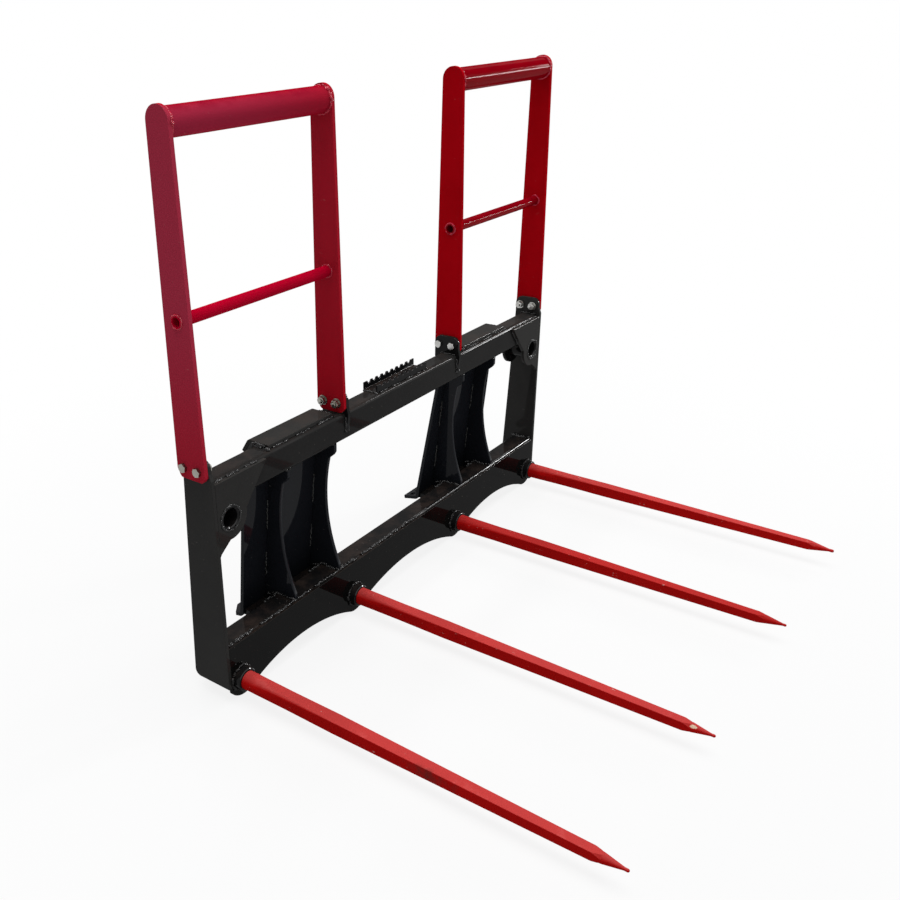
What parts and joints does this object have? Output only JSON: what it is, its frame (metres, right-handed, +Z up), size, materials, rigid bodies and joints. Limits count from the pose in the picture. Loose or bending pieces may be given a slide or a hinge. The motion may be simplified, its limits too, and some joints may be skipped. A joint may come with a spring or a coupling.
{
  "type": "bale spear",
  "caption": "Loader bale spear: a welded black frame with a quick-coupler back, tapered red spears along its lower edge, spare spear sockets and bolted-on red guard hoops.",
  "frame": {"origin": "under the middle of the whole part, level with the underside of the lobes that hold the spears", "axes": "+X along the frame, -Y the way the spears point, +Y towards the loader, +Z up"},
  "size_m": [1.511, 1.1046, 1.3238],
  "materials": {
    "frame_paint": "gloss black paint",
    "spear_paint": "satin red paint",
    "hoop_paint": "gloss crimson paint",
    "zinc_steel": "bright zinc plate",
    "plain_steel": "plain steel"
  },
  "bodies": {
    "root": {"bottom_beam": "frame_paint", "corner_gusset_left": "frame_paint", "corner_gusset_right": "frame_paint", "coupler_hook_left": "frame_paint", "coupler_hook_right": "frame_paint", "coupler_plate_left": "frame_paint", "coupler_plate_right": "frame_paint", "coupler_rib_1_left": "frame_paint", "coupler_rib_1_right": "frame_paint", "coupler_rib_2_left": "frame_paint", "coupler_rib_2_right": "frame_paint", "coupler_spacer_left": "frame_paint", "coupler_spacer_right": "frame_paint", "end_plate_left": "frame_paint", "end_plate_right": "frame_paint", "guard_bar_inner_left": "hoop_paint", "guard_bar_inner_right": "hoop_paint", "guard_bar_outer_left": "hoop_paint", "guard_bar_outer_right": "hoop_paint", "guard_bolts": "zinc_steel", "guard_lug_left": "frame_paint", "guard_lug_right": "frame_paint", "guard_nuts": "zinc_steel", "guard_rung_left": "hoop_paint", "guard_rung_right": "hoop_paint", "guard_top_tube_left": "hoop_paint", "guard_top_tube_right": "hoop_paint", "guard_washers": "zinc_steel", "lower_face_plate": "frame_paint", "socket_plate_left": "frame_paint", "socket_plate_right": "frame_paint", "spear_1": "spear_paint", "spear_2": "spear_paint", "spear_3": "spear_paint", "spear_4": "spear_paint", "spear_nuts": "plain_steel", "spear_sleeve_1": "frame_paint", "spear_sleeve_2": "frame_paint", "spear_sleeve_3": "frame_paint", "spear_sleeve_4": "frame_paint", "spear_washers": "plain_steel", "step_tread": "frame_paint", "top_beam": "frame_paint", "upper_socket_left": "frame_paint", "upper_socket_right": "frame_paint"}
  },
  "joints": []
}
